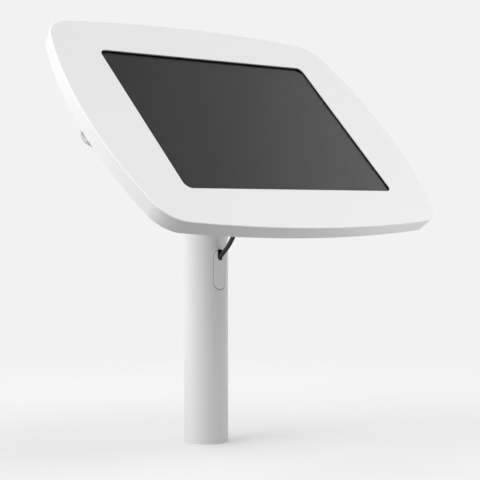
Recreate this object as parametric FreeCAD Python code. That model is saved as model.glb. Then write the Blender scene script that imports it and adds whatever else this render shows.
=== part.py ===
import FreeCAD, Part
import math
import os

Vector = FreeCAD.Vector

# Sizes are in millimetres.
# The origin is the centre of the column's foot on the desk.
# +Z is up, the screen looks towards -Y and upwards, +X is to the right of the screen.
# The head is drawn flat first: x to the right, y up the screen, z out of the face, face at z = 0.

# Column
tube_diameter = 40.0
tube_wall = 2.0
bend_radius = 60.0
bend_corner_height = 226.0
head_tilt = 45.0
face_standoff = 84.85

# Foot insert
foot_thickness = 10.0
foot_clearance = 0.05
foot_chamfer = 1.0
cable_way_radius = 8.0
foot_bolt_circle = 26.0
foot_bolt_count = 3
foot_bolt_radius = 2.5

# Port in the front of the column
port_low = 138.5
port_height = 35.8
port_width = 13.0
port_gap = 0.4
port_cover_depth = 3.9
port_cover_proud = 0.25
port_cover_edge_radius = 0.8
notch_radius = 2.8
notch_height = 168.1
notch_slope = 40.0

# Front cover outline and section
face_beyond_tablet = 49.7
face_above_tablet = 39.55
side_arc_radius = 364.0
end_arc_radius = 1200.0
corner_arc_radius = 29.5
cover_depth = 14.6
cover_draft = 2.4
face_thickness = 2.2
skirt_wall = 2.5
face_edge_radius = 0.8
opening_overlap_at_sides = 5.65
opening_overlap_at_ends = 5.05
opening_right_of_centre = 0.5
opening_above_centre = 0.6
opening_corner_radius = 7.0
opening_edge_radius = 0.3

# Pocket inside the face that brings the tablet close behind it
tablet_pocket_depth = 0.4
tablet_pocket_gap = 0.6
plug_relief_gap = 1.0

# Locating pegs of the front cover and their sockets
peg_beyond_tablet = 17.2
peg_above_tablet = 10.75
peg_radius = 3.0
peg_base_radius = 5.0
peg_length = 5.4
peg_gap = 0.4
peg_tip_chamfer = 1.0
root_overlap = 0.5
socket_height = 4.0
socket_wall = 2.6

# Tablet
tablet_width = 247.6
tablet_height = 178.5
tablet_thickness = 5.9
tablet_corner_radius = 18.0
tablet_back_radius = 1.0
tablet_rim = 1.2
tablet_gap = 0.3
glass_thickness = 0.9
panel_thickness = 0.6
glass_clearance = 0.1
border_at_sides = 8.925
border_at_ends = 9.0
display_corner_radius = 6.0
socket_slot_width = 9.0
socket_slot_thickness = 2.9
socket_slot_depth = 7.5
socket_slot_below_glass = 3.5

# Rear housing
flange_thickness = 3.0
flange_gap = 0.4
housing_wall = 2.5
raised_beyond_tablet = 20.2
raised_below_tablet_edge = 11.25
raised_slope_at_sides = 20.0
raised_slope_at_ends = 8.0
raised_corner_radius = 30.0
raised_back_corner_radius = 22.0
raised_edge_radius = 5.0
rib_thickness = 2.0
rib_height = 5.0
rib_across = 150.0

# Lock pods at the left and right of the rear housing
pod_depth = 20.7
pod_small_radius = 8.0
pod_large_radius = 21.3
pod_slope = 0.44
pod_wall = 2.0
pod_edge_radius = 0.6
pod_end_wall = 4.5
pod_inboard_length = 44.0
pod_space_beyond = 10.0

# Cam locks
lock_head_radius = 6.0
lock_head_height = 2.0
lock_body_radius = 5.1
lock_length = 22.2
lock_gap = 0.2
plug_radius = 3.75
plug_head_radius = 4.4
plug_head_height = 1.2
plug_running_gap = 0.05
plug_setback = 0.2
key_slot_width = 1.4
key_slot_height = 5.8
key_slot_depth = 8.0
cam_thickness = 2.0
cam_hub_radius = 5.2
cam_half_width = 4.0
cam_reach = 11.8
cam_gap = 0.3
tail_half = 2.5
cam_screw_radius = 1.45
cam_screw_head_radius = 4.2
cam_screw_head_height = 1.8
cam_screw_length = 8.0
cam_screw_tip_gap = 0.3
nut_across_flats = 12.5
nut_height = 3.0

# Keepers that the cams hold, fixed inside the front cover
keeper_sheet = 1.5
keeper_width = 8.2
keeper_tip_gap = 0.4
keeper_foot = 8.4
keeper_foot_gap = 0.4
keeper_beyond_tablet = 8.3
keeper_beyond_cam = 0.7
keeper_base_length = 17.0
keeper_base_thickness = 2.0
keeper_pad_height = 3.8
keeper_screw_radius = 1.25
keeper_screw_head_radius = 2.4
keeper_screw_head_top_radius = 1.92
keeper_screw_head_height = 1.7
keeper_screw_gap = 0.05
keeper_screw_inset = 6.0
keeper_screw_pitch = 7.5
keeper_screw_grip = 3.5
keeper_screw_tip_gap = 0.3

# Cradles and pads that carry the tablet
cradle_length = 32.0
cradle_height = 20.5
cradle_inset = 14.0
cradle_lip = 7.5
cradle_corner_radius = 5.0
cradle_gap = 0.3
cradle_below_glass = 2.0
pad_length = 120.0
pad_width = 9.0
pad_end_radius = 4.4

# Hub
hub_plate_size = 72.0
hub_plate_thickness = 3.0
hub_plate_corner = 8.0
hub_bolt_circle = 62.0
hub_bolt_count = 4
hub_screw_radius = 2.5
hub_screw_clearance = 0.25
hub_thread_gap = 0.05
hub_screw_head_radius = 4.75
hub_screw_head_edge = 0.8
hub_screw_head_top_radius = 3.1
hub_screw_head_height = 2.75
hub_screw_socket = 3.0
hub_screw_socket_depth = 1.6
hub_screw_tip_gap = 0.5
arm_flange_radius = 40.0
arm_flange_thickness = 5.0
arm_flange_chamfer = 1.0
spigot_length = 8.0
spigot_clearance = 0.05

# Lead outlet and clips
lead_diameter = 4.0
outlet_below_centre = 50.0
outlet_radius = 5.0
outlet_gap = 0.1
boot_flange_radius = 7.0
boot_flange_thickness = 1.5
boot_length = 11.0
boot_tip_radius = 3.1
boot_bore_gap = 0.2
clip_places = (84.0, 72.0)
clip_below_centre = 65.9
clip_depth = 22.0
clip_length = 6.0
clip_wall = 1.6
clip_bore_radius = 2.6
clip_mouth = 3.2

# Plugs of the lead
tablet_plug_width = 10.0
tablet_plug_height = 16.0
tablet_plug_thickness = 6.3
tablet_plug_gap = 0.6
tablet_plug_above_slot = 1.5
tablet_plug_corner = 2.0
tablet_plug_relief_radius = 3.0
tablet_plug_relief_tip = 2.6
tongue_width = 8.3
tongue_thickness = 2.5
tongue_length = 6.4
end_plug_width = 15.5
end_plug_thickness = 7.8
end_plug_length = 24.0
end_plug_corner = 1.8
end_plug_shell_width = 12.0
end_plug_shell_thickness = 4.5
end_plug_shell_length = 15.0
end_plug_shell_wall = 0.6
end_plug_shell_corner = 0.5

# Route of the lead, chosen by hand in the part's own frame.
# It starts at the tablet's plug, leaves the head square to its back,
# crosses to the notch of the port and hangs inside the column to its end plug.
lead_route = [
    (129.4, -68.1, 270.0),
    (129.4, -80.1, 258.0),
    (124.0, -85.6, 238.8),
    (98.0, -91.0, 224.2),
    (64.0, -91.2, 223.4),
    (31.0, -90.0, 226.5),
    (0.0, -79.7, 235.0),
    (0.0, -46.4, 201.7),
    (0.0, -34.4, 179.5),
    (0.0, -13.0, 162.8),
    (0.0, -3.5, 146.5),
    (0.0, 6.0, 124.0),
    (0.0, 10.0, 94.0),
    (0.0, 10.0, 60.0),
]
arc_share = 0.45

# Values that follow from the sizes above
tilt = math.radians(head_tilt)
head_centre = Vector(
    0.0,
    -face_standoff * math.sin(tilt),
    bend_corner_height + face_standoff * math.cos(tilt),
)
face_width = tablet_width + 2 * face_beyond_tablet
face_height = tablet_height + 2 * face_above_tablet
peg_across = tablet_width + 2 * peg_beyond_tablet
peg_up = tablet_height + 2 * peg_above_tablet
raised_width = tablet_width + 2 * raised_beyond_tablet
raised_height = tablet_height - 2 * raised_below_tablet_edge
raised_back_width = raised_width - 2 * raised_slope_at_sides
raised_back_height = raised_height - 2 * raised_slope_at_ends
opening_width = tablet_width - 2 * opening_overlap_at_sides
opening_height = tablet_height - 2 * opening_overlap_at_ends
display_width = tablet_width - 2 * border_at_sides
display_height = tablet_height - 2 * border_at_ends
housing_depth = pod_depth + pod_large_radius
inner_back = -(housing_depth - housing_wall)
flange_front = -(cover_depth - flange_thickness)
face_lip = face_thickness - tablet_pocket_depth
tablet_front = -(face_lip + tablet_gap)
tablet_back = tablet_front - tablet_thickness
panel_front = tablet_front - glass_thickness
panel_back = panel_front - panel_thickness
socket_slot_middle = tablet_front - socket_slot_below_glass
pod_flare_length = (pod_large_radius - pod_small_radius) / pod_slope
cam_start = lock_length + cam_gap
cam_end = cam_start + cam_thickness
keeper_leg_low = cam_reach + keeper_tip_gap
keeper_foot_front = -(pod_depth + cam_half_width + keeper_foot_gap)
keeper_outer = tablet_width / 2 + keeper_beyond_tablet + keeper_width
pod_end = keeper_outer - keeper_beyond_cam + cam_start
keeper_base_front = -(face_thickness + keeper_pad_height)
keeper_base_back = keeper_base_front - keeper_base_thickness
tablet_plug_middle = tablet_plug_above_slot + (socket_slot_width - tablet_plug_height) / 2
hub_plate_front = inner_back + hub_plate_thickness
arm_flange_back = -(housing_depth + arm_flange_thickness)
bend_tangent = bend_radius * math.tan(tilt / 2)
tube_bore_radius = tube_diameter / 2 - tube_wall
lead_radius = lead_diameter / 2

RIGHT = Vector(1, 0, 0)
UP = Vector(0, 1, 0)
OUT = Vector(0, 0, 1)


def cylinder(radius, start, end):
    """A round bar from one point to another."""
    length = (end - start).Length
    return Part.makeCylinder(radius, length, start, end - start)


def cone(start_radius, end_radius, start, end):
    """A tapered round bar from one point to another."""
    length = (end - start).Length
    return Part.makeCone(start_radius, end_radius, length, start, end - start)


def block(x_range, y_range, z_range):
    """A box between two values on each axis."""
    low = Vector(min(x_range), min(y_range), min(z_range))
    high = Vector(max(x_range), max(y_range), max(z_range))
    size = high - low
    return Part.makeBox(size.x, size.y, size.z, low)


def arc(centre_x, centre_y, radius, start, end, height):
    """An arc in a plane square to z, its angles in radians."""
    circle = Part.Circle(Vector(centre_x, centre_y, height), OUT, radius)
    return Part.ArcOfCircle(circle, start, end).toShape()


def joined(edges):
    """One closed wire from edges in order."""
    return Part.Wire(Part.sortEdges(edges)[0])


def rounded_rectangle(width, height, corner, level):
    """A rectangle with round corners, centred on the origin."""
    x = width / 2
    y = height / 2
    turn = math.pi / 2
    edges = []
    corners = ((1, 1), (-1, 1), (-1, -1), (1, -1))
    for index, (sx, sy) in enumerate(corners):
        start = index * turn
        edges.append(arc(sx * (x - corner), sy * (y - corner), corner, start, start + turn, level))
    sides = (
        ((x - corner, y), (corner - x, y)),
        ((-x, y - corner), (-x, corner - y)),
        ((corner - x, -y), (x - corner, -y)),
        ((x, corner - y), (x, y - corner)),
    )
    for start, end in sides:
        line = Part.LineSegment(Vector(start[0], start[1], level), Vector(end[0], end[1], level))
        edges.append(line.toShape())
    return joined(edges)


def head_outline(inset, level):
    """The face's outline: two side arcs, two end arcs and four corner arcs, all tangent."""
    side_x = face_width / 2 - side_arc_radius
    end_y = face_height / 2 - end_arc_radius
    side_reach = side_arc_radius - corner_arc_radius
    end_reach = end_arc_radius - corner_arc_radius
    apart = math.hypot(side_x, end_y)
    along = (side_reach ** 2 - end_reach ** 2 + apart ** 2) / (2 * apart)
    across = math.sqrt(side_reach ** 2 - along ** 2)
    to_end = (-side_x / apart, end_y / apart)
    corner_x = side_x + along * to_end[0] - across * to_end[1]
    corner_y = along * to_end[1] + across * to_end[0]
    side_angle = math.atan2(corner_y, corner_x - side_x)
    end_angle = math.atan2(corner_y - end_y, corner_x)
    half = math.pi
    side = side_arc_radius - inset
    end = end_arc_radius - inset
    corner = corner_arc_radius - inset
    edges = [
        arc(side_x, 0, side, -side_angle, side_angle, level),
        arc(corner_x, corner_y, corner, side_angle, end_angle, level),
        arc(0, end_y, end, end_angle, half - end_angle, level),
        arc(-corner_x, corner_y, corner, half - end_angle, half - side_angle, level),
        arc(-side_x, 0, side, half - side_angle, half + side_angle, level),
        arc(-corner_x, -corner_y, corner, half + side_angle, half + end_angle, level),
        arc(0, -end_y, end, half + end_angle, 2 * half - end_angle, level),
        arc(corner_x, -corner_y, corner, 2 * half - end_angle, 2 * half - side_angle, level),
    ]
    return joined(edges)


def prism(outline, height):
    """A straight solid on a flat outline."""
    return Part.Face(outline).extrude(Vector(0, 0, height))


def tapered(first, second):
    """A solid that changes evenly from one outline to another."""
    return Part.makeLoft([first, second], True, True)


def slab(width, height, corner, back, front):
    """A flat plate with round corners between two levels."""
    return prism(rounded_rectangle(width, height, corner, back), front - back)


def edges_at_level(solid, level):
    """The edges that lie wholly in a plane square to z."""
    found = []
    for edge in solid.Edges:
        box = edge.BoundBox
        if abs(box.ZMin - level) < 0.001 and abs(box.ZMax - level) < 0.001:
            found.append(edge)
    return found


def cover_inset(depth):
    """How far the skirt's outside lies inside the face's outline at a depth."""
    return cover_draft * depth / cover_depth


def in_corners(across, up):
    """Four places, one in each corner."""
    return [(sx * across / 2, sy * up / 2) for sx in (-1, 1) for sy in (-1, 1)]


def on_circle(count, circle_diameter, first_angle):
    """Places spread evenly on a circle."""
    radius = circle_diameter / 2
    angles = [math.radians(first_angle + 360.0 * index / count) for index in range(count)]
    return [(radius * math.cos(angle), radius * math.sin(angle)) for angle in angles]


def in_head(shape):
    """A piece drawn flat, turned and moved to its place at the top of the column."""
    placed = shape.copy()
    placed.rotate(Vector(0, 0, 0), RIGHT, head_tilt)
    placed.translate(head_centre)
    return placed


def pod_point(side, run, up=0.0, out=0.0):
    """A point beside a lock's axis, measured inwards from the pod's end."""
    return Vector(side * (pod_end - run), up, out - pod_depth)


def along_pod(side, radius, start, end):
    """A round bar on a lock's axis."""
    return cylinder(radius, pod_point(side, start), pod_point(side, end))


def front_cover():
    """The white cover: face, opening, sloped skirt, pegs and pads for the keepers."""
    outside = tapered(head_outline(cover_draft, -cover_depth), head_outline(0, 0))
    outside = outside.makeFillet(face_edge_radius, edges_at_level(outside, 0))
    beyond = cover_depth + 1.0
    inside = tapered(
        head_outline(cover_inset(beyond) + skirt_wall, -beyond),
        head_outline(cover_inset(face_thickness) + skirt_wall, -face_thickness),
    )
    opening = slab(opening_width, opening_height, opening_corner_radius, -cover_depth, 1.0)
    opening.translate(Vector(opening_right_of_centre, opening_above_centre, 0))
    cover = outside.cut(inside).cut(opening).cut(tablet_pocket())
    hole_box = opening.BoundBox
    hole_box.enlarge(0.001)
    rim = [edge for edge in edges_at_level(cover, 0) if hole_box.isInside(edge.BoundBox)]
    cover = cover.makeFillet(opening_edge_radius, rim)
    base_end = flange_front + socket_height + peg_gap
    for x, y in in_corners(peg_across, peg_up):
        base = cylinder(peg_base_radius, Vector(x, y, root_overlap - face_thickness), Vector(x, y, base_end))
        peg = cylinder(peg_radius, Vector(x, y, base_end), Vector(x, y, base_end - peg_length))
        peg = peg.makeChamfer(peg_tip_chamfer, edges_at_level(peg, base_end - peg_length))
        cover = cover.fuse([base, peg])
    for side in (-1, 1):
        cover = cover.fuse(keeper_pad(side))
        for place in keeper_screw_places(side):
            hole_depth = keeper_screw_grip + keeper_screw_tip_gap
            hole_end = Vector(place.x, place.y, keeper_base_front + hole_depth)
            cover = cover.cut(cylinder(keeper_screw_radius + keeper_screw_gap, place, hole_end))
    return cover.removeSplitter()


def tablet_pocket():
    """The shallow pocket in the face's back, with a relief for the tablet's plug."""
    back = -face_thickness - 1.0
    pocket = slab(
        tablet_width + 2 * tablet_pocket_gap,
        tablet_height + 2 * tablet_pocket_gap,
        tablet_corner_radius + tablet_pocket_gap,
        back,
        -face_lip,
    )
    plug_end = tablet_width / 2 + tablet_plug_gap + tablet_plug_width
    plug_top = tablet_plug_middle + tablet_plug_height / 2
    relief = block(
        (tablet_width / 2, plug_end + plug_relief_gap),
        (lead_start_in_head().y - plug_relief_gap, plug_top + plug_relief_gap),
        (back, -face_lip),
    )
    return pocket.fuse(relief)


def keeper_pad(side):
    """The pad inside the face that a keeper's base is screwed to."""
    low = keeper_leg_low + keeper_sheet
    high = keeper_leg_low + keeper_base_length
    x_range = (side * (keeper_outer - keeper_width), side * keeper_outer)
    return block(x_range, (low, high), (keeper_base_front, root_overlap - face_thickness))


def keeper_screw_places(side):
    """Where a keeper's two screws pass the back of its base."""
    x = side * (keeper_outer - keeper_width / 2)
    first = keeper_leg_low + keeper_screw_inset
    return [Vector(x, first + index * keeper_screw_pitch, keeper_base_back) for index in range(2)]


def keepers():
    """Two bent steel keepers: base, leg and the foot that sits behind the cam."""
    pieces = []
    for side in (-1, 1):
        x_range = (side * (keeper_outer - keeper_width), side * keeper_outer)
        leg_range = (keeper_leg_low, keeper_leg_low + keeper_sheet)
        foot_back = keeper_foot_front - keeper_sheet
        base = block(
            x_range,
            (keeper_leg_low, keeper_leg_low + keeper_base_length),
            (keeper_base_back, keeper_base_front),
        )
        leg = block(x_range, leg_range, (foot_back, keeper_base_front))
        foot = block(
            x_range,
            (leg_range[1] - keeper_foot, leg_range[1]),
            (foot_back, keeper_foot_front),
        )
        keeper = base.fuse([leg, foot])
        for place in keeper_screw_places(side):
            through = place + OUT * keeper_base_thickness
            keeper = keeper.cut(cylinder(keeper_screw_radius + keeper_screw_gap, place, through))
        pieces.append(keeper.removeSplitter())
    return Part.makeCompound(pieces)


def keeper_screws():
    """The pan-head screws of both keepers."""
    pieces = []
    for side in (-1, 1):
        for place in keeper_screw_places(side):
            head_end = place - OUT * keeper_screw_head_height
            tip = place + OUT * (keeper_base_thickness + keeper_screw_grip)
            head = cone(keeper_screw_head_radius, keeper_screw_head_top_radius, place, head_end)
            pieces.append(head.fuse(cylinder(keeper_screw_radius, place, tip)))
    return Part.makeCompound(pieces)


def pod_outside(side):
    """The flared barrel that holds a lock, with its round end edge."""
    flare_end = pod_flare_length
    flare = cone(
        pod_small_radius,
        pod_large_radius,
        pod_point(side, 0),
        pod_point(side, flare_end),
    )
    end_edges = [
        edge for edge in flare.Edges
        if edge.BoundBox.XLength < 0.001 and edge.BoundBox.YLength < 2.1 * pod_small_radius
    ]
    flare = flare.makeFillet(pod_edge_radius, end_edges)
    return flare.fuse(along_pod(side, pod_large_radius, flare_end, pod_inboard_length))


def pod_inside(side):
    """The space behind a lock's end wall, open towards the front cover."""
    start = pod_end_wall
    start_radius = pod_small_radius + pod_slope * start - pod_wall
    inner_radius = pod_large_radius - pod_wall
    space = cone(
        start_radius,
        inner_radius,
        pod_point(side, start),
        pod_point(side, pod_flare_length),
    )
    space_end = pod_inboard_length + pod_space_beyond
    space = space.fuse(along_pod(side, inner_radius, pod_flare_length, space_end))
    window = block(
        (side * (pod_end - start), side * (pod_end - cam_end)),
        (-start_radius, start_radius),
        (-pod_depth, flange_front + 1),
    )
    return space.fuse(window)


def housing_space():
    """The space inside the raised middle of the rear housing."""
    depth = housing_depth - housing_wall
    fall = (housing_depth - depth) / (housing_depth - cover_depth)
    back_width = raised_back_width + fall * (raised_width - raised_back_width)
    back_height = raised_back_height + fall * (raised_height - raised_back_height)
    twice = 2 * housing_wall
    front_outline = rounded_rectangle(
        raised_width - twice,
        raised_height - twice,
        raised_corner_radius - housing_wall,
        -cover_depth,
    )
    back_outline = rounded_rectangle(
        back_width - twice,
        back_height - twice,
        raised_back_corner_radius - housing_wall,
        -depth,
    )
    deep = tapered(back_outline, front_outline)
    mouth = prism(front_outline, flange_thickness + 1)
    return deep.fuse(mouth)


def rear_housing():
    """The white back: flange, raised middle, lock pods, sockets and ribs."""
    flange = tapered(
        head_outline(cover_inset(cover_depth) + skirt_wall + flange_gap, -cover_depth),
        head_outline(cover_inset(-flange_front) + skirt_wall + flange_gap, flange_front),
    )
    raised = tapered(
        rounded_rectangle(
            raised_back_width, raised_back_height, raised_back_corner_radius, -housing_depth
        ),
        rounded_rectangle(raised_width, raised_height, raised_corner_radius, -cover_depth),
    )
    raised = raised.makeFillet(raised_edge_radius, edges_at_level(raised, -housing_depth))
    housing = flange.fuse(raised)
    behind_flange = block(
        (-pod_end - 1, pod_end + 1),
        (-pod_large_radius - 1, pod_large_radius + 1),
        (-housing_depth - 1, flange_front),
    )
    for side in (-1, 1):
        housing = housing.fuse(pod_outside(side).common(behind_flange))
    housing = housing.cut(housing_space())
    for side in (-1, 1):
        housing = housing.cut(pod_inside(side))
        head_hole = along_pod(side, lock_head_radius + lock_gap, -1, lock_head_height)
        body_hole = along_pod(side, lock_body_radius + lock_gap / 2, 0, pod_end_wall + 1)
        housing = housing.cut([head_hole, body_hole])
    for x, y in in_corners(peg_across, peg_up):
        top = flange_front + socket_height
        boss_radius = peg_radius + peg_gap + socket_wall
        boss = cylinder(boss_radius, Vector(x, y, flange_front - root_overlap), Vector(x, y, top))
        housing = housing.fuse(boss)
        hole = cylinder(peg_radius + peg_gap, Vector(x, y, -cover_depth + 1), Vector(x, y, top))
        housing = housing.cut(hole)
    for x in (-rib_across / 2, rib_across / 2):
        rib = block(
            (x - rib_thickness / 2, x + rib_thickness / 2),
            (-raised_height / 2, raised_height / 2),
            (inner_back, inner_back + rib_height),
        )
        housing = housing.fuse(rib.common(housing_space()))
    for x, y in on_circle(hub_bolt_count, hub_bolt_circle, 45):
        hole = cylinder(
            hub_screw_radius + hub_screw_clearance,
            Vector(x, y, -housing_depth - 1),
            Vector(x, y, inner_back + 1),
        )
        housing = housing.cut(hole)
    outlet = cylinder(
        outlet_radius + outlet_gap,
        Vector(0, -outlet_below_centre, -housing_depth - 1),
        Vector(0, -outlet_below_centre, inner_back + 1),
    )
    return housing.cut(outlet).removeSplitter()


def corner_cradles():
    """Four soft corner pieces that the tablet drops into."""
    tablet_space = slab(
        tablet_width + 2 * cradle_gap,
        tablet_height + 2 * cradle_gap,
        tablet_corner_radius + cradle_gap,
        tablet_back - cradle_gap,
        0,
    )
    pieces = []
    middle_x = tablet_width / 2 + cradle_lip - cradle_length / 2
    middle_y = tablet_height / 2 + cradle_lip - cradle_height / 2
    for sx, sy in ((-1, -1), (-1, 1), (1, -1), (1, 1)):
        body = slab(
            cradle_length,
            cradle_height,
            cradle_corner_radius,
            flange_front,
            tablet_front - cradle_below_glass,
        )
        body.translate(Vector(sx * middle_x, sy * middle_y, 0))
        pieces.append(body.cut(tablet_space))
    return Part.makeCompound(pieces)


def edge_pads():
    """Two foam strips under the tablet's long edges."""
    pieces = []
    middle_y = tablet_height / 2 - pad_width / 2 - tablet_back_radius
    for sy in (-1, 1):
        strip = slab(
            pad_length, pad_width, pad_end_radius, flange_front, tablet_back - cradle_gap
        )
        strip.translate(Vector(0, sy * middle_y, 0))
        pieces.append(strip)
    return Part.makeCompound(pieces)


def tablet_body():
    """The tablet's metal tray with its charging socket in the right-hand edge."""
    body = slab(
        tablet_width,
        tablet_height,
        tablet_corner_radius,
        tablet_back,
        tablet_front - glass_clearance,
    )
    body = body.makeFillet(tablet_back_radius, edges_at_level(body, tablet_back))
    pocket = slab(
        tablet_width - 2 * tablet_rim,
        tablet_height - 2 * tablet_rim,
        tablet_corner_radius - tablet_rim,
        panel_back,
        0,
    )
    slot = stadium_bar(
        socket_slot_width,
        socket_slot_thickness,
        (tablet_width / 2 - socket_slot_depth, tablet_width / 2 + 1),
        socket_slot_middle,
    )
    return body.cut(pocket).cut(slot)


def stadium_bar(width, thickness, x_range, level):
    """A bar along x whose section is a stadium standing across y."""
    round_part = thickness / 2
    offset = width / 2 - round_part
    core = block(x_range, (-offset, offset), (level - round_part, level + round_part))
    ends = [
        cylinder(round_part, Vector(x_range[0], y, level), Vector(x_range[1], y, level))
        for y in (-offset, offset)
    ]
    return core.fuse(ends).removeSplitter()


def glass_slab(back, front, inset=0.0):
    """A plate of the glass's outline."""
    edge = tablet_rim + glass_clearance + inset
    return slab(
        tablet_width - 2 * edge,
        tablet_height - 2 * edge,
        tablet_corner_radius - edge,
        back,
        front,
    )


def tablet_display():
    """The lit panel under the glass."""
    return slab(display_width, display_height, display_corner_radius, panel_back, panel_front)


def tablet_bezel():
    """The black border round the panel."""
    ring = glass_slab(panel_back, panel_front)
    gap = glass_clearance
    hole = slab(
        display_width + gap,
        display_height + gap,
        display_corner_radius + gap / 2,
        panel_back - 1,
        panel_front + 1,
    )
    return ring.cut(hole)


def tablet_glass():
    """The tablet's clear cover glass."""
    return glass_slab(panel_front, tablet_front)


def hub_plate():
    """The steel plate inside the housing that spreads the load of the head."""
    plate = slab(hub_plate_size, hub_plate_size, hub_plate_corner, inner_back, hub_plate_front)
    for x, y in on_circle(hub_bolt_count, hub_bolt_circle, 45):
        hole = cylinder(
            hub_screw_radius + hub_screw_clearance,
            Vector(x, y, inner_back - 1),
            Vector(x, y, hub_plate_front + 1),
        )
        plate = plate.cut(hole)
    return plate


def hub_screws():
    """The button-head screws that clamp plate, housing and arm flange together."""
    pieces = []
    tip = arm_flange_back + hub_screw_tip_gap
    for x, y in on_circle(hub_bolt_count, hub_bolt_circle, 45):
        seat = Vector(x, y, hub_plate_front)
        shoulder = seat + OUT * hub_screw_head_edge
        top = seat + OUT * hub_screw_head_height
        rim = cylinder(hub_screw_head_radius, seat, shoulder)
        crown = cone(hub_screw_head_radius, hub_screw_head_top_radius, shoulder, top)
        shank = cylinder(hub_screw_radius, seat, Vector(x, y, tip))
        socket = hex_bar(
            hub_screw_socket, top - OUT * hub_screw_socket_depth, hub_screw_socket_depth + 1
        )
        pieces.append(rim.fuse([crown, shank]).cut(socket))
    return Part.makeCompound(pieces)


def hex_bar(across_flats, base, height):
    """A six-sided bar standing along z."""
    radius = across_flats / math.sqrt(3)
    corners = []
    for index in range(7):
        angle = math.radians(60 * index)
        corners.append(base + Vector(radius * math.cos(angle), radius * math.sin(angle), 0))
    return prism(Part.makePolygon(corners), height)


def arm_flange():
    """The disc on the column's end that the head is screwed to, with its spigot."""
    front = -housing_depth
    disc = cylinder(arm_flange_radius, Vector(0, 0, arm_flange_back), Vector(0, 0, front))
    disc = disc.makeChamfer(arm_flange_chamfer, edges_at_level(disc, arm_flange_back))
    spigot = cylinder(
        tube_bore_radius - spigot_clearance,
        Vector(0, 0, arm_flange_back - spigot_length),
        Vector(0, 0, arm_flange_back),
    )
    flange = disc.fuse(spigot)
    for x, y in on_circle(hub_bolt_count, hub_bolt_circle, 45):
        hole = cylinder(
            hub_screw_radius + hub_thread_gap,
            Vector(x, y, arm_flange_back - 1),
            Vector(x, y, front + 1),
        )
        flange = flange.cut(hole)
    return flange


def column_axis():
    """The column's centre line: upright, one bend, then square to the head."""
    corner = Vector(0, 0, bend_corner_height)
    toward_head = Vector(0, -math.sin(tilt), math.cos(tilt))
    bend_start = corner - OUT * bend_tangent
    bend_end = corner + toward_head * bend_tangent
    centre = bend_start - UP * bend_radius
    half_way = centre + (Vector(0, math.cos(tilt / 2), math.sin(tilt / 2)) * bend_radius)
    top = corner + toward_head * (face_standoff + arm_flange_back)
    edges = [
        Part.makeLine(Vector(0, 0, 0), bend_start),
        Part.Arc(bend_start, half_way, bend_end).toShape(),
        Part.makeLine(bend_end, top),
    ]
    return Part.Wire(edges)


def swept(path, radius):
    """A round bar along a path."""
    start = path.Edges[0].Vertexes[0].Point
    direction = path.Edges[0].tangentAt(path.Edges[0].FirstParameter)
    section = Part.Wire(Part.makeCircle(radius, start, direction))
    return path.makePipeShell([section], True, False)


def port_stadium(gap, back, front):
    """The port's upright stadium, from one depth in the column to another."""
    radius = port_width / 2 + gap
    low = port_low - gap + radius
    high = port_low + port_height + gap - radius
    core = block((-radius, radius), (back, front), (low, high))
    ends = [
        cylinder(radius, Vector(0, front, level), Vector(0, back, level))
        for level in (low, high)
    ]
    return core.fuse(ends).removeSplitter()


def column_tube():
    """The bent column with the port cut through its front wall."""
    axis = column_axis()
    tube = swept(axis, tube_diameter / 2).cut(swept(axis, tube_bore_radius))
    port = port_stadium(port_gap, -tube_diameter / 4, -tube_diameter)
    return tube.cut(port)


def port_cover():
    """The plug that closes the port, with the notch that lets the lead in."""
    outer = tube_diameter / 2 + port_cover_proud
    ring = cylinder(outer, Vector(0, 0, 0), Vector(0, 0, bend_corner_height))
    core = cylinder(outer - port_cover_depth, Vector(0, 0, 0), Vector(0, 0, bend_corner_height))
    cover = port_stadium(0, -tube_diameter / 4, -tube_diameter).common(ring.cut(core))
    front_edges = [
        edge for edge in cover.Edges
        if all(abs(math.hypot(v.X, v.Y) - outer) < 0.001 for v in edge.Vertexes)
        and math.hypot(edge.CenterOfMass.x, edge.CenterOfMass.y) > outer - port_cover_depth / 4
    ]
    cover = cover.makeFillet(port_cover_edge_radius, front_edges)
    slope = math.radians(notch_slope)
    direction = Vector(0, -math.cos(slope), math.sin(slope))
    middle = Vector(0, -tube_diameter / 2, notch_height)
    far = direction * (tube_diameter / 2)
    groove = cylinder(notch_radius, middle - far, middle + far)
    lift = Vector(0, 0, port_height)
    face = Part.makePolygon([
        middle - far,
        middle + far,
        middle + far + lift,
        middle - far + lift,
        middle - far,
    ])
    slot = Part.Face(face).extrude(RIGHT * (2 * notch_radius))
    slot.translate(RIGHT * -notch_radius)
    return cover.cut(groove.fuse(slot)).removeSplitter()


def foot_insert():
    """The steel insert in the column's foot: tapped holes and the cable way."""
    radius = tube_bore_radius - foot_clearance
    insert = cylinder(radius, Vector(0, 0, 0), Vector(0, 0, foot_thickness))
    insert = insert.makeChamfer(foot_chamfer, edges_at_level(insert, foot_thickness))
    insert = insert.cut(cylinder(cable_way_radius, Vector(0, 0, -1), Vector(0, 0, foot_thickness + 1)))
    for x, y in on_circle(foot_bolt_count, foot_bolt_circle, 90):
        hole = cylinder(foot_bolt_radius, Vector(x, y, -1), Vector(x, y, foot_thickness + 1))
        insert = insert.cut(hole)
    return insert


def lock_barrel(side):
    """A cam lock's fixed barrel."""
    head = along_pod(side, lock_head_radius, 0, lock_head_height)
    body = along_pod(side, lock_body_radius, lock_head_height, lock_length)
    bore = along_pod(side, plug_radius + plug_running_gap, -1, lock_length + 1)
    recess_depth = plug_setback + plug_head_height + plug_running_gap
    recess = along_pod(side, plug_head_radius + plug_running_gap, -1, recess_depth)
    return head.fuse(body).cut([bore, recess]).removeSplitter()


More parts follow.
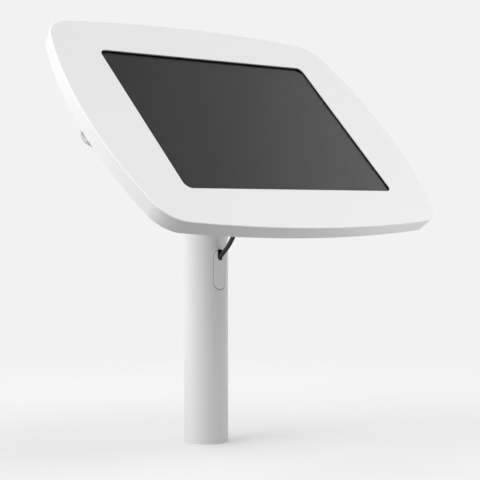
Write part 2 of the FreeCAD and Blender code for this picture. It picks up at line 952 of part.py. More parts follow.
def lock_plug(side):
    """The part of a lock that turns with the key, down to its square tail."""
    head_end = plug_setback + plug_head_height
    head = along_pod(side, plug_head_radius, plug_setback, head_end)
    body = along_pod(side, plug_radius, head_end, cam_start)
    half = tail_half
    tail = block(
        (pod_point(side, cam_start).x, pod_point(side, cam_end).x),
        (-half, half),
        (-pod_depth - half, -pod_depth + half),
    )
    plug = head.fuse([body, tail])
    slot = block(
        (pod_point(side, 0).x, pod_point(side, key_slot_depth).x),
        (-key_slot_width / 2, key_slot_width / 2),
        (-pod_depth - key_slot_height / 2, -pod_depth + key_slot_height / 2),
    )
    hole_start = cam_end - cam_screw_length - cam_screw_tip_gap
    hole = along_pod(side, cam_screw_radius + plug_running_gap, hole_start, cam_end + 1)
    return plug.cut([slot, hole]).removeSplitter()


def lock_cam(side):
    """The flat cam on the plug's tail, pointing at the front cover when unlocked."""
    hub = along_pod(side, cam_hub_radius, cam_start, cam_end)
    tip_middle = cam_reach - cam_half_width
    tip = cylinder(
        cam_half_width,
        pod_point(side, cam_start, 0, tip_middle),
        pod_point(side, cam_end, 0, tip_middle),
    )
    arm = block(
        (pod_point(side, cam_start).x, pod_point(side, cam_end).x),
        (-cam_half_width, cam_half_width),
        (-pod_depth, -pod_depth + tip_middle),
    )
    half = tail_half + plug_running_gap
    square = block(
        (pod_point(side, cam_start - 1).x, pod_point(side, cam_end + 1).x),
        (-half, half),
        (-pod_depth - half, -pod_depth + half),
    )
    return hub.fuse([arm, tip]).cut(square).removeSplitter()


def cam_screw(side):
    """The screw that holds a cam on its plug."""
    head = along_pod(side, cam_screw_head_radius, cam_end, cam_end + cam_screw_head_height)
    shank = along_pod(side, cam_screw_radius, cam_end - cam_screw_length, cam_end)
    return head.fuse(shank)


def lock_nut(side):
    """The flat nut that clamps a barrel to its pod."""
    bar = hex_bar(nut_across_flats, Vector(0, 0, 0), nut_height)
    bar.rotate(Vector(0, 0, 0), UP, -90 * side)
    bar.translate(pod_point(side, pod_end_wall))
    hole = along_pod(side, lock_body_radius + plug_running_gap, 0, lock_length)
    return bar.cut(hole)


def outlet_boot():
    """The soft outlet in the housing's back: a grooved collar and a tapered sleeve."""
    y = -outlet_below_centre
    inner = inner_back + boot_flange_thickness
    outer = -housing_depth - boot_flange_thickness
    tip = -housing_depth - boot_length
    pieces = [
        cylinder(boot_flange_radius, Vector(0, y, inner_back), Vector(0, y, inner)),
        cylinder(outlet_radius, Vector(0, y, -housing_depth), Vector(0, y, inner_back)),
        cylinder(boot_flange_radius, Vector(0, y, outer), Vector(0, y, -housing_depth)),
        cone(outlet_radius, boot_tip_radius, Vector(0, y, outer), Vector(0, y, tip)),
    ]
    bore = cylinder(lead_radius + boot_bore_gap, Vector(0, y, tip - 1), Vector(0, y, inner + 1))
    return pieces[0].fuse(pieces[1:]).cut(bore).removeSplitter()


def lead_clips():
    """Open clips that hold the lead along the lower wall of the housing."""
    pieces = []
    y = -clip_below_centre
    z = -clip_depth
    outer = clip_bore_radius + clip_wall
    for x in clip_places:
        x_range = (x - clip_length / 2, x + clip_length / 2)
        ring = cylinder(outer, Vector(x_range[0], y, z), Vector(x_range[1], y, z))
        stem = block(x_range, (y, -raised_height / 2), (z - outer, z + outer))
        bore = cylinder(clip_bore_radius, Vector(x_range[0] - 1, y, z), Vector(x_range[1] + 1, y, z))
        mouth = block(
            (x_range[0] - 1, x_range[1] + 1),
            (y, y + outer + 1),
            (z - clip_mouth / 2, z + clip_mouth / 2),
        )
        clip = ring.fuse(stem).cut([bore, mouth]).common(housing_space())
        pieces.append(clip)
    return Part.makeCompound(pieces)


def tablet_plug():
    """The right-angle plug in the tablet's socket."""
    level = socket_slot_middle
    left = tablet_width / 2 + tablet_plug_gap
    body = slab(
        tablet_plug_width,
        tablet_plug_height,
        tablet_plug_corner,
        level - tablet_plug_thickness / 2,
        level + tablet_plug_thickness / 2,
    )
    body.translate(Vector(left + tablet_plug_width / 2, tablet_plug_middle, 0))
    tongue = stadium_bar(
        tongue_width, tongue_thickness, (left - tongue_length, left + 1), level
    )
    start = lead_start_in_head()
    plug_low = tablet_plug_middle - tablet_plug_height / 2
    relief_root = Vector(start.x, plug_low + tablet_plug_corner, start.z)
    relief = cone(tablet_plug_relief_radius, tablet_plug_relief_tip, relief_root, start)
    return body.fuse([tongue, relief])


def lead_start_in_head():
    """The lead's first point, seen in the flat head."""
    offset = Vector(*lead_route[0]) - head_centre
    turn = FreeCAD.Rotation(RIGHT, -head_tilt)
    return turn.multVec(offset)


def end_plug():
    """The flat plug on the lead's far end, hanging inside the column."""
    top = Vector(*lead_route[-1])
    body = slab(end_plug_width, end_plug_thickness, end_plug_corner, -end_plug_length, 0)
    tip = -end_plug_length - end_plug_shell_length
    shell = slab(
        end_plug_shell_width,
        end_plug_shell_thickness,
        end_plug_shell_corner,
        tip,
        -end_plug_length,
    )
    wall = end_plug_shell_wall
    mouth = block(
        (wall - end_plug_shell_width / 2, end_plug_shell_width / 2 - wall),
        (0, end_plug_shell_thickness / 2 - wall),
        (tip - 1, -end_plug_length - wall),
    )
    plug = body.fuse(shell).cut(mouth).removeSplitter()
    plug.translate(top)
    return plug


def rounded_path(points):
    """Straight runs joined by tangent arcs as large as the runs allow."""
    points = [Vector(*point) for point in points]
    edges = []
    radii = []
    last = points[0]
    for before, corner, after in zip(points, points[1:], points[2:]):
        arriving = (corner - before).normalize()
        leaving = (after - corner).normalize()
        half_turn = arriving.getAngle(leaving) / 2
        cut_back = arc_share * min((corner - before).Length, (after - corner).Length)
        radius = cut_back / math.tan(half_turn)
        start = corner - arriving * cut_back
        end = corner + leaving * cut_back
        inward = (leaving - arriving).normalize()
        centre = corner + inward * (radius / math.cos(half_turn))
        middle = centre - inward * radius
        edges.append(Part.makeLine(last, start))
        edges.append(Part.Arc(start, middle, end).toShape())
        radii.append(radius)
        last = end
    edges.append(Part.makeLine(last, points[-1]))
    return Part.Wire(edges), radii


def charging_lead():
    """The lead in one piece, from the tablet's plug to its end plug."""
    path, radii = rounded_path(lead_route)
    lead = swept(path, lead_radius)
    expected = math.pi * lead_radius ** 2 * path.Length
    print("lead length", round(path.Length, 1))
    print("lead radii", [round(radius, 1) for radius in radii])
    print("lead volume over section times length", round(lead.Volume / expected, 5))
    return lead


def build():
    """Every piece by name, in the part's own frame."""
    pieces = {
        "front_cover": in_head(front_cover()),
        "cover_keepers": in_head(keepers()),
        "keeper_screws": in_head(keeper_screws()),
        "rear_housing": in_head(rear_housing()),
        "corner_cradles": in_head(corner_cradles()),
        "edge_pads": in_head(edge_pads()),
        "tablet_body": in_head(tablet_body()),
        "tablet_bezel": in_head(tablet_bezel()),
        "tablet_display": in_head(tablet_display()),
        "tablet_glass": in_head(tablet_glass()),
        "hub_plate": in_head(hub_plate()),
        "hub_screws": in_head(hub_screws()),
        "arm_flange": in_head(arm_flange()),
        "column_tube": column_tube(),
        "port_cover": port_cover(),
        "foot_insert": foot_insert(),
        "outlet_boot": in_head(outlet_boot()),
        "lead_clips": in_head(lead_clips()),
        "charging_lead": charging_lead(),
        "tablet_plug": in_head(tablet_plug()),
        "end_plug": end_plug(),
    }
    for name, side in (("left", -1), ("right", 1)):
        pieces["lock_barrel_" + name] = in_head(lock_barrel(side))
        pieces["lock_nut_" + name] = in_head(lock_nut(side))
        pieces["lock_plug_" + name] = in_head(lock_plug(side))
        pieces["lock_cam_" + name] = in_head(lock_cam(side))
        pieces["cam_screw_" + name] = in_head(cam_screw(side))
    return pieces


os.makedirs("parts", exist_ok=True)
for node, shape in build().items():
    state = "valid" if shape.isValid() else "NOT VALID"
    print(node, len(shape.Solids), "solids", round(shape.Volume), "mm3", state)
    shape.exportStep("parts/" + node + ".step")
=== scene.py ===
import math

import bmesh
import bpy
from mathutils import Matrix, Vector


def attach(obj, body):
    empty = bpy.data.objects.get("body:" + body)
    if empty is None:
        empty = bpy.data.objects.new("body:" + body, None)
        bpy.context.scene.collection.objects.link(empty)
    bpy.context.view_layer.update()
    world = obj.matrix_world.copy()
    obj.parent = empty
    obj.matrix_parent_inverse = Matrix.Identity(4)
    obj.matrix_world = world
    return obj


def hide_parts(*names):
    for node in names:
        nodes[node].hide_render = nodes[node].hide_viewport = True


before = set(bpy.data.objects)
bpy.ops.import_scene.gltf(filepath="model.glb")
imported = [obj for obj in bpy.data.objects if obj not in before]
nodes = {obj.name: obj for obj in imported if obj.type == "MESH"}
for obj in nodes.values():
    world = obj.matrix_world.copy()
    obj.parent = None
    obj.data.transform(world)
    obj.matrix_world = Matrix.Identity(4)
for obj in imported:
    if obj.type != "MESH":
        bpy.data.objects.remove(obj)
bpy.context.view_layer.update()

# Lengths are in metres in the object's own frame, and the camera's lens and sensor in millimetres.
# Every colour here is a grey, so a tone is one number from black at 0 to white at 1.

# Camera, as the photograph was taken, with its heading and downward pitch in degrees
CAMERA_PLACE = (-0.7795, -0.9469, 0.2082)
CAMERA_HEADING = 40.899
CAMERA_PITCH = 1.194
CAMERA_LENS = 101.42
CAMERA_SENSOR = 36.0

# Head: the face's middle, and its axes across, up the screen and out of the face
HEAD_CENTRE = Vector((0.0, -0.059998, 0.285998))
HEAD_TILT = math.radians(45.0)
ACROSS = Vector((1.0, 0.0, 0.0))
UP = Vector((0.0, math.cos(HEAD_TILT), math.sin(HEAD_TILT)))
OUT = Vector((0.0, -math.sin(HEAD_TILT), math.cos(HEAD_TILT)))

# Front cover: its rounded edge, from just under the face, carries a painted highlight in a paler
# tone
EDGE_START = -0.00003
EDGE_END = -0.0008
EDGE_HIGHLIGHT_TONE = 0.86

# Wall of the screen's opening: painted shade on its top wall, and a black band of painted shade
# where the gap by the glass lies in shadow
OPENING_HALF_WIDTH = 0.1195
OPENING_HALF_HEIGHT = 0.0856
TOP_WALL_START = 0.0832
TOP_WALL_SHADE_TONE = 0.45
GAP_SHADE_TOP = -0.0011
GAP_SHADE_TONE = 0.006

# Port cover: its sides below this distance from the column's middle carry painted shade for the gap
# to the column
PORT_SHADE_RADIUS = 0.0198
PORT_SHADE_TONE = 0.10

# Trim ring round each lock: its middle in the head, and its section as radius and height
LOCK_ACROSS = 0.1621
LOCK_OUT = -0.0207
RING_SECTION = (
    (0.0049, -0.00002),
    (0.0049, 0.00025),
    (0.0051, 0.0004),
    (0.0072, 0.0004),
    (0.0075, 0.00015),
    (0.0075, -0.00002),
)
RING_STEPS = 96

# Cover glass: how far it reaches into the panel below it, and its gloss
GLASS_BOND = 0.00001
GLASS_TONE = 0.97
GLASS_INDEX = 1.5
GLASS_ROUGHNESS = (0.18, 0.23)
SMEAR_SCALE = 14.0
SMEAR_CONTRAST = 1.5

# Charging lead, from the tablet's plug to the end plug, with its curve's order and fineness
LEAD_DIAMETER = 0.004
LEAD_ORDER = 3
LEAD_STEPS = 12
LEAD_ROUNDNESS = 6
LEAD_ROUTE = (
    (0.1294, -0.0681, 0.2700),
    (0.1294, -0.0801, 0.2580),
    (0.1240, -0.0856, 0.2388),
    (0.0980, -0.0910, 0.2242),
    (0.0640, -0.0912, 0.2234),
    (0.0310, -0.0900, 0.2265),
    (0.0, -0.0797, 0.2350),
    (0.0, -0.0464, 0.2017),
    (0.0, -0.0344, 0.1795),
    (0.0, -0.0130, 0.1628),
    (0.0, -0.0035, 0.1465),
    (0.0, 0.0060, 0.1240),
    (0.0, 0.0100, 0.0940),
    (0.0, 0.0100, 0.0600),
)

# Shared surface effects: how much broader the mask of a grain is than the grain itself,
# the contrast of slow tone drift, and the span of a noise mask that sets a finish's gloss
MASK_BREADTH = 0.2
DRIFT_CONTRAST = 1.6
MASK_SPAN = (0.3, 0.7)

# Studio: the plain backdrop, the floor as the camera sees it and as it throws light back,
# and the distances from the column over which the floor fades away
BACKDROP_TONE = 0.890
FLOOR_TONE = 0.73
FLOOR_BOUNCE = 0.30
FLOOR_ROUGHNESS = 0.9
FLOOR_SHINE = 0.1
FLOOR_RADIUS = 2.4
FLOOR_SIDES = 128
FLOOR_FADE = (0.20, 0.75)

# Soft glows of the room: direction, breadth as the cosine at the rim, and strength
WIDE = 0.45
NARROW = 0.85
GLOWS = {
    "small_high_left": ((-0.70, 0.10, 0.70), NARROW, 1.53),
    "small_high_front": ((0.30, -0.50, 0.81), NARROW, 1.44),
    "left": ((-0.98, 0.00, 0.21), WIDE, 1.24),
    "small_high_back": ((0.00, 0.50, 0.86), NARROW, 0.96),
    "small_back_right": ((0.90, 0.40, 0.15), NARROW, 0.80),
    "small_right": ((0.86, -0.25, 0.45), NARROW, 0.80),
    "back_left": ((-0.69, 0.69, 0.21), WIDE, 0.76),
    "small_front_left": ((-0.30, -0.60, 0.74), NARROW, 0.69),
    "small_low_right": ((0.85, -0.50, 0.15), NARROW, 0.60),
    "back": ((0.00, 0.98, 0.21), WIDE, 0.55),
    "back_right": ((0.69, 0.69, 0.21), WIDE, 0.40),
    "high_front": ((-0.17, -0.62, 0.77), WIDE, 0.34),
    "small_far_right": ((0.90, 0.00, 0.43), NARROW, 0.28),
    "high_right": ((0.62, 0.17, 0.77), WIDE, 0.22),
    "low_right": ((0.79, 0.21, -0.57), WIDE, 0.20),
    "front_right": ((0.69, -0.69, 0.21), WIDE, 0.18),
    "right": ((0.98, 0.00, 0.21), WIDE, 0.10),
}

# Soft lamps just over the floor, facing up at the head's lower wall: place, size, watts
LAMPS = {
    "front_lamp": ((0.18, -0.42, 0.01), 0.25, 0.67),
    "right_lamp": ((0.34, -0.16, 0.01), 0.20, 0.14),
}


# Steps that the shaders are built from

def grey(tone):
    """A neutral colour with full cover."""
    return (tone, tone, tone, 1.0)


def add_node(tree, kind, **settings):
    """A new shader node with its settings."""
    node = tree.nodes.new("ShaderNode" + kind)
    for title, value in settings.items():
        setattr(node, title, value)
    return node


def feed(tree, value, socket):
    """Joins another node's result to a socket, or sets a plain value on it."""
    if isinstance(value, bpy.types.NodeSocket):
        tree.links.new(value, socket)
    else:
        socket.default_value = value


def calculate(tree, operation, *values, clamp=False):
    """One step of arithmetic on numbers."""
    step = add_node(tree, "Math", operation=operation, use_clamp=clamp)
    for value, socket in zip(values, step.inputs):
        feed(tree, value, socket)
    return step.outputs["Value"]


def vector_step(tree, operation, result, *vectors):
    """One step of arithmetic on vectors, with a vector or a number as its result."""
    step = add_node(tree, "VectorMath", operation=operation)
    for vector, socket in zip(vectors, step.inputs):
        feed(tree, vector, socket)
    return step.outputs[result]


def ranged(tree, value, source, target, interpolation="LINEAR"):
    """A value carried from one range of numbers to another."""
    step = add_node(tree, "MapRange", interpolation_type=interpolation)
    for title, number in zip(("From Min", "From Max", "To Min", "To Max"), (*source, *target)):
        step.inputs[title].default_value = number
    tree.links.new(value, step.inputs["Value"])
    return step.outputs["Result"]


def mixed(tree, mask, first, second):
    """The first colour where the mask is zero, and the second where it is one."""
    mix = add_node(tree, "Mix", data_type="RGBA")
    feed(tree, mask, mix.inputs["Factor"])
    feed(tree, first, mix.inputs["A"])
    feed(tree, second, mix.inputs["B"])
    return mix.outputs["Result"]


def below(tree, value, limit):
    """One where a value is under a limit."""
    return calculate(tree, "LESS_THAN", value, limit)


def above(tree, value, limit):
    """One where a value is over a limit."""
    return calculate(tree, "GREATER_THAN", value, limit)


def within(tree, value, limit):
    """One where a value's size is under a limit."""
    return below(tree, calculate(tree, "ABSOLUTE", value), limit)


def overlap(tree, mask, *others):
    """One where every mask is one."""
    for other in others:
        mask = calculate(tree, "MULTIPLY", mask, other)
    return mask


# Effects that several finishes share

def new_group(name, numbers, results):
    """An empty node group with named number inputs and outputs."""
    group = bpy.data.node_groups.new(name, "ShaderNodeTree")
    for title, start in numbers.items():
        socket = group.interface.new_socket(title, in_out="INPUT", socket_type="NodeSocketFloat")
        socket.default_value = start
    for title in results:
        group.interface.new_socket(title, in_out="OUTPUT", socket_type="NodeSocketFloat")
    entry = group.nodes.new("NodeGroupInput")
    leaving = group.nodes.new("NodeGroupOutput")
    return group, entry.outputs, leaving.inputs


def grain_group():
    """Fine surface grain as a height, and a broader noise of the same kind as a mask."""
    group, given, results = new_group(
        "fine_grain", {"Scale": 900.0, "Detail": 3.0}, ("Height", "Mask")
    )
    place = add_node(group, "TexCoord").outputs["Object"]
    grain = add_node(group, "TexNoise")
    group.links.new(place, grain.inputs["Vector"])
    group.links.new(given["Scale"], grain.inputs["Scale"])
    group.links.new(given["Detail"], grain.inputs["Detail"])
    group.links.new(grain.outputs["Fac"], results["Height"])
    broad = add_node(group, "TexNoise")
    broad_scale = calculate(group, "MULTIPLY", given["Scale"], MASK_BREADTH)
    group.links.new(place, broad.inputs["Vector"])
    group.links.new(broad_scale, broad.inputs["Scale"])
    group.links.new(broad.outputs["Fac"], results["Mask"])
    return group


def drift_group():
    """A slow change of tone over the surface, as paint and moulded plastic have."""
    group, given, results = new_group("tone_drift", {"Scale": 9.0, "Contrast": 1.0}, ("Mask",))
    middle = 0.5
    cloud = add_node(group, "TexNoise")
    group.links.new(add_node(group, "TexCoord").outputs["Object"], cloud.inputs["Vector"])
    group.links.new(given["Scale"], cloud.inputs["Scale"])
    centred = calculate(group, "SUBTRACT", cloud.outputs["Fac"], middle)
    spread = calculate(group, "MULTIPLY", centred, given["Contrast"])
    group.links.new(calculate(group, "ADD", spread, middle, clamp=True), results["Mask"])
    return group


def head_group():
    """Where a point of the surface lies in the head: across, up the screen and out of the face."""
    axes = {"Across": ACROSS, "Up": UP, "Out": OUT}
    group, _, results = new_group("place_in_head", {}, axes)
    place = add_node(group, "TexCoord").outputs["Object"]
    offset = vector_step(group, "SUBTRACT", "Vector", place, HEAD_CENTRE)
    for title, axis in axes.items():
        group.links.new(vector_step(group, "DOT_PRODUCT", "Value", offset, axis), results[title])
    return group


def column_group():
    """How far a point of the surface lies from the column's middle."""
    group, _, results = new_group("place_on_column", {}, ("Radius",))
    place = add_node(group, "TexCoord").outputs["Object"]
    level = vector_step(group, "MULTIPLY", "Vector", place, (1.0, 1.0, 0.0))
    group.links.new(vector_step(group, "LENGTH", "Value", level), results["Radius"])
    return group


GRAIN = grain_group()
DRIFT = drift_group()
PLACE_IN_HEAD = head_group()
PLACE_ON_COLUMN = column_group()


def place_group(tree, group, **values):
    """One use of a shared effect with its own values."""
    use = add_node(tree, "Group", node_tree=group)
    for title, value in values.items():
        use.inputs[title].default_value = value
    return use.outputs


# Finishes

def new_finish(name, tone, roughness, metallic=0.0):
    """A material with its shader ready."""
    material = bpy.data.materials.new(name)
    material.use_nodes = True
    shader = material.node_tree.nodes["Principled BSDF"]
    shader.inputs["Base Color"].default_value = grey(tone)
    shader.inputs["Roughness"].default_value = roughness
    shader.inputs["Metallic"].default_value = metallic
    return material, shader


def add_relief(tree, shader, height, depth):
    """Surface relief from a height."""
    bump = add_node(tree, "Bump")
    bump.inputs["Strength"].default_value = 1.0
    bump.inputs["Distance"].default_value = depth
    tree.links.new(height, bump.inputs["Height"])
    tree.links.new(bump.outputs["Normal"], shader.inputs["Normal"])


def grained_finish(name, tones, rough, grain, relief, metallic=0.0, drift=9.0, specular=0.5):
    """A finish with slow tone drift, uneven gloss and a fine grain."""
    dark, light = tones
    material, shader = new_finish(name, light, rough[0], metallic)
    tree = material.node_tree
    shader.inputs["Specular IOR Level"].default_value = specular
    drifting = place_group(tree, DRIFT, Scale=drift, Contrast=DRIFT_CONTRAST)
    grained = place_group(tree, GRAIN, Scale=grain)
    paint = mixed(tree, drifting["Mask"], grey(dark), grey(light))
    gloss = ranged(tree, grained["Mask"], MASK_SPAN, rough)
    tree.links.new(paint, shader.inputs["Base Color"])
    tree.links.new(gloss, shader.inputs["Roughness"])
    add_relief(tree, shader, grained["Height"], relief)
    return material


def paint_over(material, coats):
    """Lays tones over the paint of a finish, each where its mask is one."""
    tree = material.node_tree
    base = tree.nodes["Principled BSDF"].inputs["Base Color"]
    paint = base.links[0].from_socket
    for mask, tone in coats:
        paint = mixed(tree, mask, paint, grey(tone))
    tree.links.new(paint, base)


def add_cover_painted_light(material):
    """A painted highlight on the rounded edges, painted shade on the opening's top wall, and a black
    band of painted shade in the gap by the glass.
    """
    tree = material.node_tree
    place = place_group(tree, PLACE_IN_HEAD)
    across, up, out = place["Across"], place["Up"], place["Out"]
    under_face = below(tree, out, EDGE_START)
    # Painted highlight: the rounded edge is painted paler than the face
    edge_highlight = overlap(tree, under_face, above(tree, out, EDGE_END))
    opening = overlap(
        tree,
        within(tree, across, OPENING_HALF_WIDTH),
        within(tree, up, OPENING_HALF_HEIGHT),
    )
    # Painted shade: the opening's top wall is painted grey
    top_wall_shade = overlap(tree, opening, under_face, above(tree, up, TOP_WALL_START))
    # Painted shade: a black band on the wall by the glass stands in for the shadowed gap
    gap_shade = overlap(tree, opening, below(tree, out, GAP_SHADE_TOP))
    paint_over(material, ((edge_highlight, EDGE_HIGHLIGHT_TONE), (top_wall_shade, TOP_WALL_SHADE_TONE), (gap_shade, GAP_SHADE_TONE)))


def add_port_gap_shade(material):
    """Painted shade on the port cover's sides, in the gap to the column."""
    tree = material.node_tree
    radius = place_group(tree, PLACE_ON_COLUMN)["Radius"]
    # Painted shade: the sides down in the gap are painted dark grey
    paint_over(material, ((below(tree, radius, PORT_SHADE_RADIUS), PORT_SHADE_TONE),))


def make_glass():
    """Clear cover glass with a faint unevenness in its gloss."""
    material, shader = new_finish("cover_glass", GLASS_TONE, GLASS_ROUGHNESS[0])
    tree = material.node_tree
    shader.inputs["Transmission Weight"].default_value = 1.0
    shader.inputs["IOR"].default_value = GLASS_INDEX
    smear = place_group(tree, DRIFT, Scale=SMEAR_SCALE, Contrast=SMEAR_CONTRAST)
    gloss = ranged(tree, smear["Mask"], MASK_SPAN, GLASS_ROUGHNESS)
    tree.links.new(gloss, shader.inputs["Roughness"])
    return material


# Each finish: darkest and lightest tone, least and most roughness, scale and depth of the grain
white_cover = grained_finish(
    "white_front_cover",
    tones=(0.800, 0.815), rough=(0.30, 0.38), grain=1400.0, relief=0.000012, specular=0.45,
)
white_plastic = grained_finish(
    "white_moulded_plastic",
    tones=(0.800, 0.815), rough=(0.36, 0.44), grain=1400.0, relief=0.000012, specular=0.45,
)
white_port_cover = grained_finish(
    "white_port_cover",
    tones=(0.800, 0.815), rough=(0.40, 0.50), grain=1400.0, relief=0.000012, specular=0.25,
)
white_paint = grained_finish(
    "white_powder_coat",
    tones=(0.765, 0.780), rough=(0.42, 0.52), grain=1100.0, relief=0.000022, specular=0.2,
)
steel = grained_finish(
    "plated_steel",
    tones=(0.50, 0.60), rough=(0.24, 0.38), grain=1800.0, relief=0.000010, metallic=1.0, drift=40.0,
)
lock_metal = grained_finish(
    "satin_nickel",
    tones=(0.50, 0.56), rough=(0.42, 0.50), grain=2400.0, relief=0.000004, metallic=1.0, drift=60.0,
)
tablet_metal = grained_finish(
    "blasted_aluminium",
    tones=(0.56, 0.62), rough=(0.34, 0.42), grain=5200.0, relief=0.000006, metallic=1.0, drift=20.0,
)
black_print = grained_finish(
    "black_border",
    tones=(0.010, 0.012), rough=(0.40, 0.50), grain=2600.0, relief=0.000002, drift=6.0, specular=0.0,
)
dark_panel = grained_finish(
    "switched_off_panel",
    tones=(0.007, 0.009), rough=(0.40, 0.50), grain=3000.0, relief=0.0, drift=6.0, specular=0.0,
)
soft_black = grained_finish(
    "soft_black_rubber",
    tones=(0.016, 0.024), rough=(0.62, 0.78), grain=1500.0, relief=0.000030, specular=0.3,
)
foam = grained_finish(
    "closed_cell_foam",
    tones=(0.022, 0.040), rough=(0.85, 0.95), grain=900.0, relief=0.000120, specular=0.2,
)
lead_jacket = grained_finish(
    "lead_jacket",
    tones=(0.016, 0.024), rough=(0.36, 0.48), grain=2200.0, relief=0.000012, drift=30.0,
)
plug_black = grained_finish(
    "moulded_black_plug",
    tones=(0.014, 0.020), rough=(0.34, 0.46), grain=1800.0, relief=0.000014,
)
glass = make_glass()
add_cover_painted_light(white_cover)
add_port_gap_shade(white_port_cover)

NODE_FINISHES = {
    "front_cover": white_cover,
    "rear_housing": white_plastic,
    "port_cover": white_port_cover,
    "column_tube": white_paint,
    "arm_flange": white_paint,
    "foot_insert": steel,
    "hub_plate": steel,
    "hub_screws": steel,
    "cover_keepers": steel,
    "keeper_screws": steel,
    "tablet_body": tablet_metal,
    "tablet_bezel": black_print,
    "tablet_display": dark_panel,
    "tablet_glass": glass,
    "corner_cradles": soft_black,
    "outlet_boot": soft_black,
    "edge_pads": foam,
    "lead_clips": plug_black,
    "tablet_plug": plug_black,
    "end_plug": plug_black,
}
for side in ("left", "right"):
    NODE_FINISHES["lock_barrel_" + side] = lock_metal
    NODE_FINISHES["lock_plug_" + side] = lock_metal
    NODE_FINISHES["lock_nut_" + side] = lock_metal
    NODE_FINISHES["lock_cam_" + side] = steel
    NODE_FINISHES["cam_screw_" + side] = lock_metal


def dress_node(node, material):
    """Gives every surface of a node its finish."""
    if not node.material_slots:
        node.data.materials.append(material)
    for slot in node.material_slots:
        slot.material = material


# Pieces that the scene adds or changes

def bond_glass():
    """Sinks the glass's back a hair into the panel, as clear glue joins them."""
    bond = nodes["tablet_glass"].modifiers.new("bond", "DISPLACE")
    bond.strength = GLASS_BOND
    bond.mid_level = 0.0


def make_lock_ring(name, way):
    """A thin ring round a lock, on the flat end of its pod: -1 is the way left, and 1 right."""
    middle = HEAD_CENTRE + ACROSS * (way * LOCK_ACROSS) + OUT * LOCK_OUT
    mesh = bmesh.new()
    rows = []
    for step in range(RING_STEPS):
        angle = way * 2 * math.pi * step / RING_STEPS
        outward = UP * math.cos(angle) + OUT * math.sin(angle)
        rows.append([
            mesh.verts.new(middle + outward * radius + ACROSS * (way * height))
            for radius, height in RING_SECTION
        ])
    for row, next_row in zip(rows, rows[1:] + rows[:1]):
        for index, corner in enumerate(row):
            beside = (index + 1) % len(row)
            mesh.faces.new((corner, row[beside], next_row[beside], next_row[index]))
    bmesh.ops.recalc_face_normals(mesh, faces=mesh.faces)
    data = bpy.data.meshes.new(name)
    mesh.to_mesh(data)
    mesh.free()
    ring = bpy.data.objects.new(name, data)
    data.materials.append(lock_metal)
    bpy.context.scene.collection.objects.link(ring)
    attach(ring, "root")


def make_lead():
    """The charging lead, from the tablet's plug to its end plug inside the column."""
    data = bpy.data.curves.new("lead", "CURVE")
    data.dimensions = "3D"
    data.resolution_u = LEAD_STEPS
    data.bevel_depth = LEAD_DIAMETER / 2
    data.bevel_resolution = LEAD_ROUNDNESS
    data.use_fill_caps = True
    spline = data.splines.new("NURBS")
    spline.points.add(len(LEAD_ROUTE) - 1)
    for point, place in zip(spline.points, LEAD_ROUTE):
        point.co = (*place, 1.0)
    spline.order_u = LEAD_ORDER
    spline.use_endpoint_u = True
    lead = bpy.data.objects.new("lead", data)
    data.materials.append(lead_jacket)
    bpy.context.scene.collection.objects.link(lead)
    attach(lead, "root")
    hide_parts("charging_lead")


# Camera, room, lamps and floor

def make_camera():
    """The photograph's view, looking slightly down."""
    data = bpy.data.cameras.new("camera")
    data.lens = CAMERA_LENS
    data.sensor_width = CAMERA_SENSOR
    camera = bpy.data.objects.new("camera", data)
    heading = math.radians(CAMERA_HEADING)
    pitch = math.radians(CAMERA_PITCH)
    forward = Vector((
        math.sin(heading) * math.cos(pitch),
        math.cos(heading) * math.cos(pitch),
        -math.sin(pitch),
    ))
    camera.location = CAMERA_PLACE
    camera.rotation_euler = forward.to_track_quat("-Z", "Y").to_euler()
    bpy.context.scene.collection.objects.link(camera)
    bpy.context.scene.camera = camera


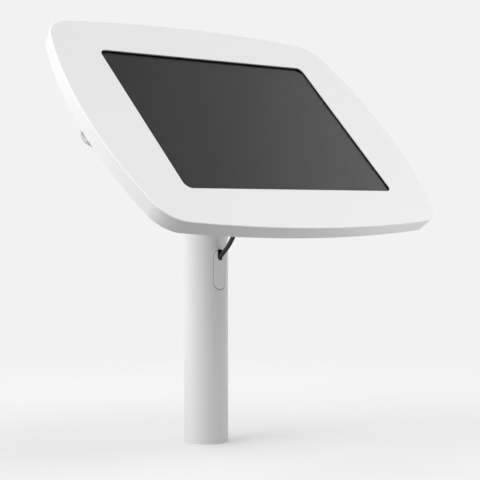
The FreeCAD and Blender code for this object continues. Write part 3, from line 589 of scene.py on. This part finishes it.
def make_room():
    """Soft light all round, with a plain backdrop where the camera looks past the object."""
    world = bpy.data.worlds.new("room")
    bpy.context.scene.world = world
    world.use_nodes = True
    tree = world.node_tree
    tree.nodes.clear()
    place = add_node(tree, "TexCoord").outputs["Generated"]
    total = 0.0
    for direction, rim, strength in GLOWS.values():
        total = calculate(tree, "ADD", make_glow(tree, place, direction, rim, strength), total)
    light = add_node(tree, "Background")
    light.inputs["Color"].default_value = grey(1.0)
    tree.links.new(total, light.inputs["Strength"])
    backdrop = add_node(tree, "Background")
    backdrop.inputs["Color"].default_value = grey(BACKDROP_TONE)
    mix = add_node(tree, "MixShader")
    path = add_node(tree, "LightPath")
    tree.links.new(path.outputs["Is Camera Ray"], mix.inputs["Fac"])
    tree.links.new(light.outputs[0], mix.inputs[1])
    tree.links.new(backdrop.outputs[0], mix.inputs[2])
    tree.links.new(mix.outputs[0], add_node(tree, "OutputWorld").inputs["Surface"])


def make_glow(tree, place, direction, rim, strength):
    """The light of one soft-edged glow of the room."""
    facing = vector_step(tree, "DOT_PRODUCT", "Value", place, Vector(direction).normalized())
    return ranged(tree, facing, (rim, 1.0), (0.0, strength), "SMOOTHSTEP")


def make_lamps():
    """Soft lamps for the pale light that the floor in front and on the right throws up."""
    for name, (place, size, power) in LAMPS.items():
        data = bpy.data.lights.new(name, "AREA")
        data.energy = power
        data.size = size
        lamp = bpy.data.objects.new(name, data)
        lamp.location = place
        lamp.rotation_euler = (math.pi, 0.0, 0.0)
        lamp.visible_camera = False
        bpy.context.scene.collection.objects.link(lamp)


def make_floor():
    """A pale round floor that fades into the backdrop."""
    bpy.ops.mesh.primitive_circle_add(
        vertices=FLOOR_SIDES, radius=FLOOR_RADIUS, fill_type="NGON"
    )
    floor = bpy.context.object
    floor.name = "floor"
    material, shader = new_finish("floor_finish", FLOOR_TONE, FLOOR_ROUGHNESS)
    shader.inputs["Specular IOR Level"].default_value = FLOOR_SHINE
    tree = material.node_tree
    seen = add_node(tree, "LightPath").outputs["Is Camera Ray"]
    paint = mixed(tree, seen, grey(FLOOR_BOUNCE), grey(FLOOR_TONE))
    place = add_node(tree, "NewGeometry").outputs["Position"]
    distance = vector_step(tree, "LENGTH", "Value", place)
    cover = ranged(tree, distance, FLOOR_FADE, (1.0, 0.0), "SMOOTHSTEP")
    tree.links.new(paint, shader.inputs["Base Color"])
    tree.links.new(cover, shader.inputs["Alpha"])
    floor.data.materials.append(material)


for name, material in NODE_FINISHES.items():
    dress_node(nodes[name], material)
bond_glass()
make_camera()
make_lead()
make_lock_ring("lock_ring_left", -1)
make_lock_ring("lock_ring_right", 1)
make_room()
make_lamps()
make_floor()
bpy.context.scene.view_settings.view_transform = "Standard"
